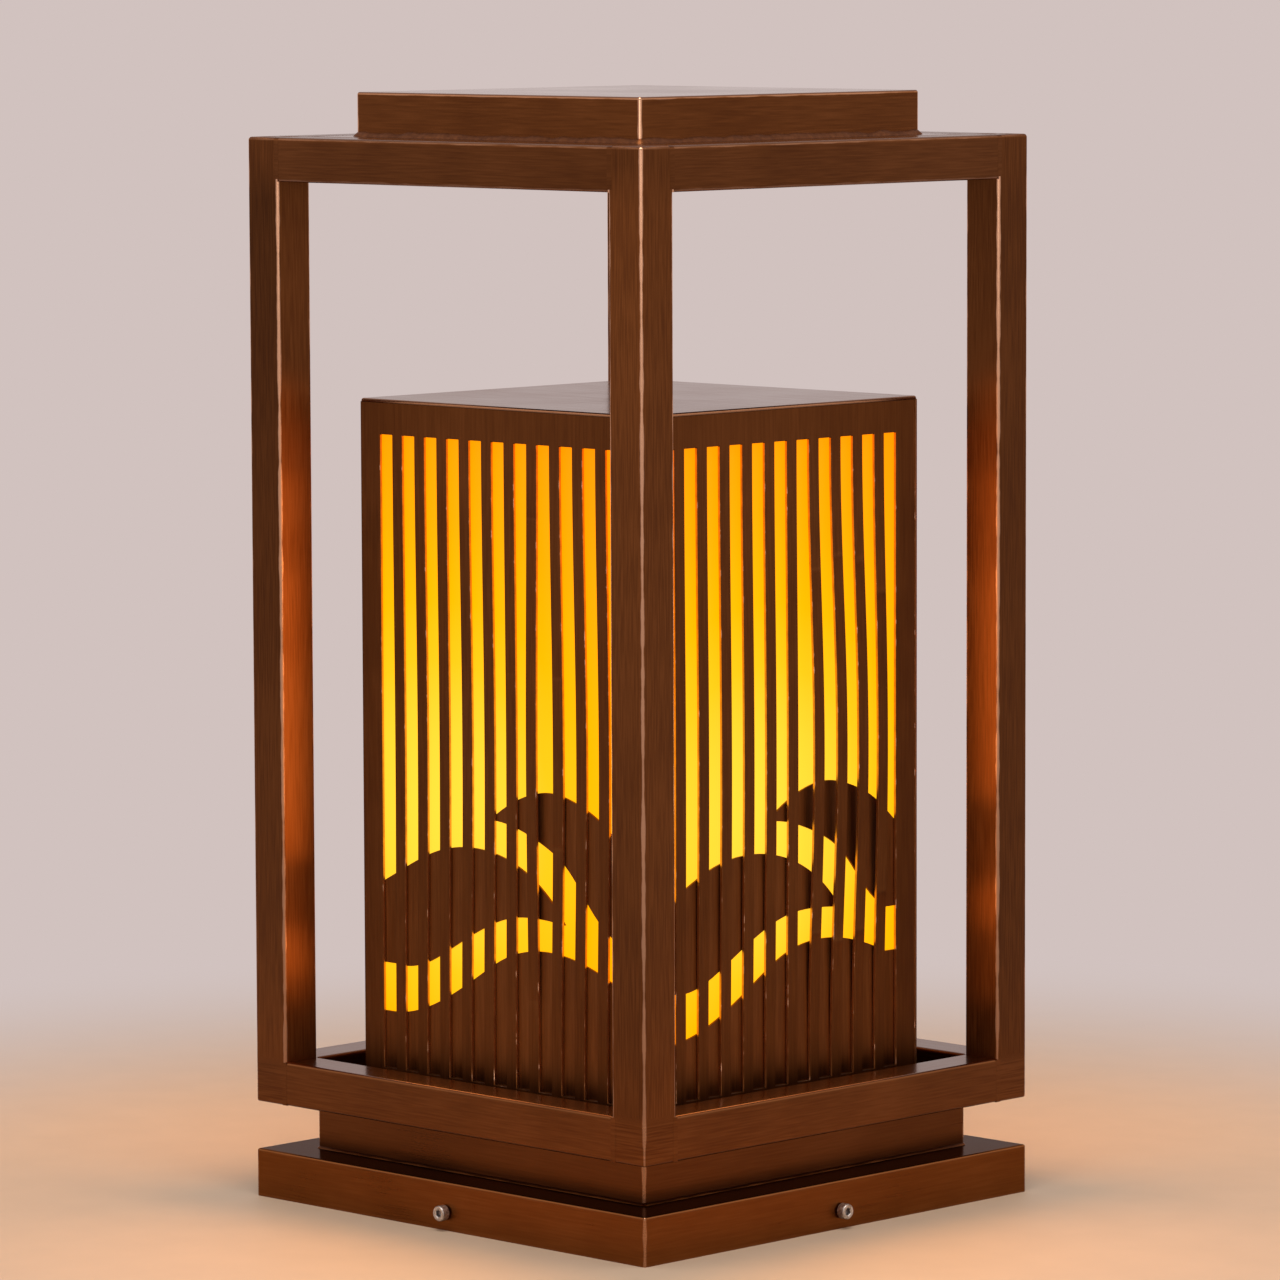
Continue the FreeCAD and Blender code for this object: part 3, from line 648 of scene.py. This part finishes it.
def skin(rings, closed=False):
    """Points and faces through rings of equal count, with flat ends or joined back to the first ring."""
    count = len(rings[0])
    points = [point for row in rings for point in row]
    faces = []
    for row in range(len(rings) if closed else len(rings) - 1):
        here = row * count
        there = (row + 1) % len(rings) * count
        for step in range(count):
            after = (step + 1) % count
            faces.append((here + step, here + after, there + after, there + step))
    if not closed:
        faces.append(tuple(reversed(range(count))))
        faces.append(tuple(range(len(points) - count, len(points))))
    return points, faces


def thread(radius, depth, pitch, z0, z1, steps, rows_a_turn, rounded=False):
    """Rings of a right-hand thread from z0 up to z1."""
    def radius_at(step, z):
        phase = ((z - z0) / pitch - step / steps) % 1.0
        dip = 0.5 + 0.5 * math.cos(2 * math.pi * phase) if rounded else abs(2 * phase - 1)
        return radius - depth * dip

    rows = round((z1 - z0) / pitch * rows_a_turn)
    return [shaped_ring(z0 + (z1 - z0) * row / rows, steps, radius_at) for row in range(rows + 1)]


def make_piece(name, shells, body, materials, sharp=35):
    """Object of one or more closed shells, each points and faces, that moves with a body.

    Edges that turn by more than the angle sharp, in degrees, aren't smoothed.
    """
    points = []
    faces = []
    for shell_points, shell_faces in shells:
        first = len(points)
        points += shell_points
        faces += [tuple(first + index for index in face) for face in shell_faces]
    mesh = bpy.data.meshes.new(name)
    mesh.from_pydata(points, [], faces)
    mesh.polygons.foreach_set("use_smooth", [True] * len(mesh.polygons))
    mesh.set_sharp_from_angle(angle=math.radians(sharp))
    for material in materials:
        mesh.materials.append(material)
    item = bpy.data.objects.new(name, mesh)
    bpy.context.scene.collection.objects.link(item)
    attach(item, body)
    return item


def slot_columns(low, high):
    """Upright lines of a slotted panel: its sides and both edges of each slot."""
    centre = (low + high) / 2
    columns = [low]
    for step in range(SLOT_COUNT):
        middle = centre + SLOT_PITCH * (step - (SLOT_COUNT - 1) / 2)
        columns += [middle - SLOT_W / 2, middle + SLOT_W / 2]
    return columns + [high]


def slot_levels(low, high):
    """Level lines of a slotted panel: its ends, and rows from the slots' sill to their head."""
    foot = low + SLOT_SILL
    head = high - SLOT_HEAD
    return [low] + [foot + (head - foot) * row / SLAT_ROWS for row in range(SLAT_ROWS + 1)] + [high]


def slat_points(side, columns, levels, depths):
    """Points of a slotted panel's two faces, row by row, with its slats bowed and swayed."""
    bow = [0.0] + SLAT_BOW[side] + [0.0]
    sway = [0.0] + SLAT_SWAY[side] + [0.0]
    points = []
    for depth in depths:
        for level in levels:
            height = (level - BOW_FOOT) / (BOW_TOP - BOW_FOOT)
            swell = math.sin(math.pi * height) ** 2 * MM if 0 < height < 1 else 0.0
            for column, across in enumerate(columns):
                slat = column // 2
                points.append(Vector((across + sway[slat] * swell, depth - bow[slat] * swell, level)))
    return points


def slat_faces(wide, tall):
    """Faces of a slotted panel of so many columns and rows of points, and the walls at all its edges."""
    def solid(column, row):
        inside = 0 <= column < wide - 1 and 0 <= row < tall - 1
        return inside and (column % 2 == 0 or row in (0, tall - 2))

    faces = []
    walls = []
    back = wide * tall
    for row in range(tall - 1):
        for column in range(wide - 1):
            if not solid(column, row):
                continue
            a = row * wide + column
            b, c, d = a + 1, a + wide + 1, a + wide
            faces += [(a, b, c, d), (back + d, back + c, back + b, back + a)]
            for first, second, beside in ((b, a, (column, row - 1)), (c, b, (column + 1, row)),
                                          (d, c, (column, row + 1)), (a, d, (column - 1, row))):
                if not solid(*beside):
                    walls.append((first, second, back + second, back + first))
    return faces, walls


def slat_panel(side, materials):
    """Slotted panel whose slats have bowed, with materials for its faces, bevelled edges and walls."""
    low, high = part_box("slat_panel_front")
    columns = slot_columns(low[0], high[0])
    levels = slot_levels(low[2], high[2])
    points = slat_points(side, columns, levels, (low[1], high[1]))
    faces, walls = slat_faces(len(columns), len(levels))
    item = make_piece("slats_" + side, [(points, faces + walls)], "cover", materials)
    item.data.polygons.foreach_set("material_index", [0] * len(faces) + [2] * len(walls))
    item.data.transform(side_turn(side))
    bevel = item.modifiers.new("cut_edges", "BEVEL")
    bevel.width = SLAT_EDGE
    bevel.segments = 1
    bevel.limit_method = "ANGLE"
    bevel.angle_limit = math.radians(SLAT_EDGE_TURN)
    bevel.material = 1
    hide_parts("slat_panel_" + side)


def knurled(radius, z):
    """Ring round a screw head with a groove for each knurl."""
    def radius_at(step, _):
        return radius - (KNURL_DEPTH if step % KNURL_STEPS == 0 else 0.0)

    return shaped_ring(z, SCREW_STEPS, radius_at)


def hexagon(room, z):
    """Ring on the outline of the key's socket, widened by some room."""
    def radius_at(step, _):
        turn = math.radians((360 * step / SCREW_STEPS + 30) % 60 - 30)
        return (SCREW_KEY / 2 + room) / math.cos(turn)

    return shaped_ring(z, SCREW_STEPS, radius_at)


def clamp_screw(side, materials):
    """Socket-head screw with a knurled head and its thread, made upright and laid along its side's axis.

    Its materials are those of the outside and of the key's socket, whose darker steel is painted shade in
    the recess.
    """
    low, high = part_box("clamp_screw_front")
    head_r = (high[0] - low[0]) / 2
    length = high[1] - low[1]
    under = length - SCREW_HEAD_H
    key_foot = length - SCREW_KEY_DEPTH
    outside = [ring(head_r - SCREW_BEVEL, under, SCREW_STEPS),
               knurled(head_r, under + SCREW_BEVEL / 2),
               knurled(head_r, length - 2 * SCREW_BEVEL),
               ring(head_r - SCREW_BEVEL / 4, length - SCREW_BEVEL, SCREW_STEPS),
               ring(head_r - SCREW_BEVEL, length, SCREW_STEPS),
               hexagon(SCREW_BEVEL, length)]
    socket = [hexagon(0.0, length - SCREW_BEVEL),
              hexagon(0.0, key_foot),
              ring(SCREW_BEVEL, key_foot - SCREW_BEVEL, SCREW_STEPS)]
    shank = [ring(SCREW_D / 2 - SCREW_BEVEL, 0.0, SHANK_STEPS)]
    shank += thread(SCREW_D / 2, SCREW_THREAD_DEPTH, SCREW_PITCH, SCREW_BEVEL, under + SCREW_BEVEL / 2,
                    SHANK_STEPS, rows_a_turn=6)
    shells = [skin(outside + socket), skin(shank)]
    item = make_piece("socket_screw_" + side, shells, "clamp_" + side, materials, sharp=25)
    for index in range(len(outside) * SCREW_STEPS, (len(outside) + len(socket) - 1) * SCREW_STEPS):
        item.data.polygons[index].material_index = 1
    tip = Matrix.Translation((0, high[1], (low[2] + high[2]) / 2))
    item.data.transform(side_turn(side) @ tip @ Matrix.Rotation(math.radians(90), 4, "X"))
    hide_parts("clamp_screw_" + side)


def square_path(half, corner, step):
    """Points and outward directions round a square with rounded corners, in the XY plane."""
    stations = []
    run = half - corner
    guard = corner / CORNER_GUARD
    count = max(2, round(2 * run / step))
    flats = [-run, -run + guard] + [-run + 2 * run * index / count for index in range(1, count)]
    flats += [run - guard, run]
    for quarter in range(4):
        spin = Matrix.Rotation(math.radians(90 * quarter), 3, "Z")
        for place in flats:
            stations.append((spin @ Vector((half, place, 0)), spin @ Vector((1, 0, 0))))
        for index in range(1, CORNER_STEPS):
            turn = math.radians(90 / CORNER_STEPS * index)
            way = Vector((math.cos(turn), math.sin(turn), 0))
            stations.append((spin @ (Vector((run, run, 0)) + corner * way), spin @ way))
    return stations


def bead_shell(half, floor, size, roughness):
    """Hand-laid bead in the corner between a level floor and a square box that stands on it."""
    rings = []
    for spot, out in square_path(half, SHEET_CORNER, BEAD_STEP):
        lumps = sum(noise.noise(spot * waves) * share for waves, share in BEAD_LUMPS)
        wide = size * (1.0 + roughness * lumps)
        tall = size * (1.0 + roughness * noise.noise(spot * BEAD_RISE + BEAD_RISE_SHIFT))
        shape = [(-BEAD_ROOT, 0.0)]
        shape += [(across * wide, up * tall) for across, up in BEAD_PROFILE]
        shape.append((-BEAD_ROOT, tall))
        rings.append([spot + out * away + Vector((0, 0, floor + up)) for away, up in shape])
    return skin(rings, closed=True)


def cap_bead(material):
    """Sealant round the roof cap."""
    shell = bead_shell(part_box("top_cap")[1][0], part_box("cap_bead")[0][2], CAP_BEAD, roughness=0.4)
    item = make_piece("sealing_bead", [shell], "cover", [material], BEAD_SHARP)
    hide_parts("cap_bead")


def plinth_bead(material):
    """Weld round the plinth's foot."""
    low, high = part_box("plinth")
    shell = bead_shell(high[0], low[2], PLINTH_BEAD, roughness=0.25)
    item = make_piece("plinth_weld", [shell], "cover", [material], BEAD_SHARP)


# Turns from the XY plane to the plane across a rail along x, or along y
ACROSS_RAIL = (Matrix(((0, 0, 1), (1, 0, 0), (0, 1, 0))), Matrix(((0, 1, 0), (0, 0, 1), (1, 0, 0))))


def rail_welds(level, rounding, material):
    """Flush-ground welds that close the joint between the rails of one level and the posts."""
    shells = []
    for name in each(level):
        low, high = (Vector(corner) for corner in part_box(name))
        along = 0 if high.x - low.x > high.y - low.y else 1
        half = (high.z - low.z) / 2 + WELD_PROUD
        outline = [ACROSS_RAIL[along] @ spot for spot, _ in square_path(half, rounding, half)]
        for end, outward in ((low[along], -1), (high[along], 1)):
            rings = []
            for place in sorted((end - WELD_ON_RAIL * outward, end + WELD_IN_POST * outward)):
                centre = (low + high) / 2
                centre[along] = place
                rings.append([centre + spot for spot in outline])
            shells.append(skin(rings))
    item = make_piece(level + "_welds", shells, "cover", [material])


def roof_weld(material):
    """Flush-ground weld round the plate that is let into the frame's top."""
    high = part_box("top_plate")[1]
    half = ROOF_WELD_W / 2
    foot, top = high[2] - ROOF_WELD_H, high[2] + WELD_PROUD
    shape = [(-half, foot), (half, foot), (half, top), (-half, top)]
    rings = [[spot + out * away + Vector((0, 0, up)) for away, up in shape]
             for spot, out in square_path(high[0], TUBE_CORNER, ROOF_WELD_STEP)]
    item = make_piece("roof_weld", [skin(rings, closed=True)], "cover", [material])


def lamp_stem(material):
    """Threaded tube that carries the lampholder."""
    low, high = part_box("lamp_stem")
    radius = (high[0] - low[0]) / 2
    rings = thread(radius, STEM_THREAD_DEPTH, STEM_PITCH, low[2], high[2], STEM_STEPS, rows_a_turn=5)
    rings += [ring(STEM_BORE / 2, high[2], STEM_STEPS), ring(STEM_BORE / 2, low[2], STEM_STEPS)]
    item = make_piece("threaded_stem", [skin(rings, closed=True)], "base", [material], sharp=25)
    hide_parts("lamp_stem")


def bulb_cap(material):
    """Screw cap of the bulb with its rolled thread."""
    low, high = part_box("bulb_cap")
    radius = (high[0] - low[0]) / 2
    tip = (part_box("bulb_contact")[1][0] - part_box("bulb_contact")[0][0]) / 2
    cone = low[2] + BULB_CONE_H
    collar = high[2] - BULB_COLLAR_H
    collar_r = radius - BULB_COLLAR_IN
    rings = [ring(tip, low[2], BULB_STEPS), ring(radius - BULB_CONE_IN, cone - BULB_RUN_OUT, BULB_STEPS)]
    rings += thread(radius, BULB_THREAD_DEPTH, BULB_PITCH, cone, collar, BULB_STEPS, rows_a_turn=14,
                    rounded=True)
    rings += [ring(collar_r, collar + BULB_RUN_OUT, BULB_STEPS), ring(collar_r, high[2], BULB_STEPS)]
    item = make_piece("screw_cap", [skin(rings)], "bulb", [material], sharp=40)
    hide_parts("bulb_cap")


def floor_look():
    """Pale floor that fades into the wall's colour away from the object."""
    look = Look("pale_floor")
    speckle = look.noise(look.place, 35, 4)
    look.set(Base_Color=look.ramp(speckle, (0.3, toned(FLOOR, FLOOR_SPECKLE)), (0.7, FLOOR)), Roughness=0.6)
    wall = look.tree.nodes.new("ShaderNodeEmission")
    wall.inputs["Color"].default_value = WALL
    blend = look.tree.nodes.new("ShaderNodeMixShader")
    fade = look.remap(look.vector("DISTANCE", look.place, (0.0, 0.0, 0.0)), *FLOOR_FADE)
    fade.node.interpolation_type = "SMOOTHSTEP"
    rays = look.tree.nodes.new("ShaderNodeLightPath").outputs
    shown = look.math("MAXIMUM", rays["Is Camera Ray"], rays["Is Glossy Ray"])
    shown = look.math("MAXIMUM", shown, rays["Is Transmission Ray"])
    look.put(blend.inputs[0], look.math("MULTIPLY", fade, shown))
    look.put(blend.inputs[1], look.skin.outputs[0])
    look.put(blend.inputs[2], wall.outputs[0])
    look.put(look.tree.nodes["Material Output"].inputs["Surface"], blend.outputs[0])
    return look.material


def stage():
    """Round floor under the object."""
    mesh = bpy.data.meshes.new("floor")
    mesh.from_pydata(ring(FLOOR_R, 0.0, FLOOR_STEPS), [], [tuple(range(FLOOR_STEPS))])
    floor = bpy.data.objects.new("floor", mesh)
    bpy.context.scene.collection.objects.link(floor)
    mesh.materials.append(floor_look())


def world():
    """Wall colour behind the object, also where it shows in gloss, and a plain fill."""
    backdrop = bpy.data.worlds.new("studio")
    backdrop.use_nodes = True
    tree = backdrop.node_tree
    fill = tree.nodes["Background"]
    fill.inputs["Color"].default_value = FILL_COLOR
    fill.inputs["Strength"].default_value = FILL
    wall = tree.nodes.new("ShaderNodeBackground")
    wall.inputs["Color"].default_value = WALL
    rays = tree.nodes.new("ShaderNodeLightPath")
    shown = rays.outputs["Is Camera Ray"]
    for kind in ("Is Glossy Ray", "Is Transmission Ray"):
        either = tree.nodes.new("ShaderNodeMath")
        either.operation = "MAXIMUM"
        tree.links.new(shown, either.inputs[0])
        tree.links.new(rays.outputs[kind], either.inputs[1])
        shown = either.outputs[0]
    blend = tree.nodes.new("ShaderNodeMixShader")
    for socket, source in zip(blend.inputs, (shown, fill.outputs[0], wall.outputs[0])):
        tree.links.new(source, socket)
    tree.links.new(blend.outputs[0], tree.nodes["World Output"].inputs["Surface"])
    bpy.context.scene.world = backdrop


def towards(azimuth, elevation):
    """Direction from the object, with azimuth 0 at the front and 90 at the right."""
    turn, rise = math.radians(azimuth), math.radians(elevation)
    return Vector((math.sin(turn) * math.cos(rise), -math.cos(turn) * math.cos(rise), math.sin(rise)))


def lamp(name, place, facing, width, height, power, color):
    """Area light at a place that shines against the direction facing."""
    light = bpy.data.lights.new(name, "AREA")
    light.shape = "RECTANGLE"
    light.size, light.size_y = width, height
    light.energy = power
    light.color = color
    item = bpy.data.objects.new(name, light)
    item.matrix_world = Matrix.Translation(place) @ facing.to_track_quat("Z", "Y").to_matrix().to_4x4()
    item.visible_camera = False
    bpy.context.scene.collection.objects.link(item)
    return item


def softbox(name, azimuth, elevation, distance, width, height, power):
    """Studio light that shines on the middle of the object."""
    way = towards(azimuth, elevation)
    lamp(name, Vector((0, 0, AIM_HEIGHT)) + way * distance, way, width, height, power, LAMP_COLOR)


def shade_glow(side):
    """Amber light that leaves the shade through one panel and moves with the cover."""
    turn = side_turn(side)
    inward = turn @ Vector((0, 1, 0))
    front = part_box("slat_panel_front")[0][1] - GLOW_GAP
    half = SLOT_COUNT * SLOT_PITCH / 2
    for layer, (left, right, foot, top, share) in enumerate(GLOW_PATCHES):
        wide, tall = half * (right - left), (top - foot) * MM
        depth = front - GLOW_LAYER * layer
        place = turn @ Vector((half * (left + right) / 2, depth, (foot + top) / 2 * MM))
        power = GLOW_POWER[side] * share * wide * tall
        item = lamp("glow_" + side, place, inward, wide, tall, power, GLOW_COLOR)
        item.data.spread = GLOW_SPREAD
        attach(item, "cover")


def camera():
    """Camera of the photograph."""
    back = towards(AZIMUTH, ELEVATION)
    right = Vector((math.cos(math.radians(AZIMUTH)), math.sin(math.radians(AZIMUTH)), 0))
    up = back.cross(right)
    turn = math.radians(ROLL)
    across = right * math.cos(turn) + up * math.sin(turn)
    upward = up * math.cos(turn) - right * math.sin(turn)
    place = right * AIM_SIDEWAYS + Vector((0, 0, AIM_HEIGHT)) + back * DISTANCE
    lens = bpy.data.cameras.new("camera")
    lens.lens = LENS
    lens.sensor_width = SENSOR
    item = bpy.data.objects.new("camera", lens)
    item.matrix_world = Matrix.Translation(place) @ Matrix((across, upward, back)).transposed().to_4x4()
    bpy.context.scene.collection.objects.link(item)
    bpy.context.scene.camera = item


def dress_frame():
    """Posts, rails, and the sheets of base, roof and shade."""
    for corner, tones in POST_TONE_AND_LIGHT.items():
        post = "post_" + corner
        dress(brushed_bronze(post + "_bronze", "post", post, tone=tones, **POST_FINISH), post)
    for level, (wear, tone, rounding) in RAILS.items():
        finish = {"roughness": RAIL_ROUGHNESS, "tone": tone}
        for grain, pair in (("x", ("_front", "_back")), ("y", ("_right", "_left"))):
            rails = [level + end for end in pair]
            dress(brushed_bronze(level + "_bronze_" + grain, grain, rails[0], level=wear, **finish), *rails)
        rail_welds(level, rounding, brushed_bronze(level + "_weld", "level", **finish))
    for sheet, finish in SHEETS.items():
        dress(brushed_bronze(sheet + "_bronze", "level", sheet, **finish), sheet)
    dress(brushed_bronze("plain_bronze", "x"), "deck", "post_plugs")


def dress_shade():
    """Hills, slats and amber sheets."""
    # The hills' higher tone is painted light, against the shade that the bowed slats cast on them
    dress(brushed_bronze("hill_bronze", "z", roughness=0.42, tone=1.22), *each("hill_plate"))
    slat_metal = [brushed_bronze("slat_bronze", "z", roughness=0.55, tone=1.08),
                  worn_copper("slat_edge", (0.45, BRONZE_DARK), (0.6, BRONZE_LIGHT), (0.75, COPPER_WORN_AND_HIGHLIGHT)),
                  worn_copper("slot_wall", (0.3, COPPER_DULL), (0.7, COPPER_CUT))]
    for side in SIDES:
        slat_panel(side, slat_metal)
    for side in SIDES:
        dress(amber_acrylic(side), "diffuser_" + side)


def dress_seams():
    """Welds and sealant that show on roof and base."""
    weld = weld_bronze()
    roof_weld(weld)
    plinth_bead(weld)
    cap_bead(sealant())


def dress_hardware():
    """Clamp screws, and what is under the cover."""
    # The darker steel of the key's socket is painted shade in its recess
    screw_metal = [screw_steel("bright_steel", srgb(158, 149, 142), srgb(216, 207, 199)),
                   screw_steel("socket_shade_steel", srgb(122, 118, 118), srgb(172, 166, 165))]
    for side in SIDES:
        clamp_screw(side, screw_metal)
    zinc = zinc_steel()
    dress(zinc, "clamp_nuts", "shade_screws", "shade_nuts", "bridge_screws", "stem_nuts", "terminal_screws",
          "lamp_bridge", "mounting_plate", "plate_tabs")
    lamp_stem(zinc)
    dress(extruded_aluminium("angle_aluminium"), "corner_angles")
    dress(extruded_aluminium("led_aluminium"), "bulb_led_plate")
    dress(brass(), "earth_screw", "holder_thread", "holder_contact", "bulb_contact")
    dress(moulded("bush_rubber", srgb(20, 20, 20), srgb(38, 37, 36), roughness=0.7), "cable_bush")
    dress(moulded("terminal_white", srgb(206, 205, 198), srgb(232, 231, 225), roughness=0.45),
          "terminal_block")
    dress(moulded("holder_black", srgb(24, 23, 22), srgb(44, 42, 40), roughness=0.35),
          "holder_cap", "holder_body")
    dress(moulded("holder_ceramic", srgb(216, 213, 205), srgb(238, 236, 230), roughness=0.5, lumps=300),
          "holder_insert")
    dress(moulded("bulb_white", srgb(222, 222, 219), srgb(240, 240, 238), roughness=0.32), "bulb_housing")
    dress(opal_glow(), "bulb_globe")
    bulb_cap(nickel())


def light():
    """Glow of the shade, and soft studio light."""
    for side in SIDES:
        shade_glow(side)
    softbox("front", AZIMUTH, elevation=9, distance=2.2, width=1.0, height=0.5, power=3)
    softbox("left", AZIMUTH - 95, elevation=25, distance=2.2, width=1.2, height=1.2, power=4)
    softbox("right", AZIMUTH + 95, elevation=25, distance=2.2, width=1.2, height=1.2, power=4)
    softbox("overhead", AZIMUTH, elevation=68, distance=1.8, width=1.2, height=1.2, power=18)


dress_frame()
dress_shade()
dress_seams()
dress_hardware()
stage()
world()
light()
camera()
bpy.context.scene.view_settings.view_transform = "Standard"
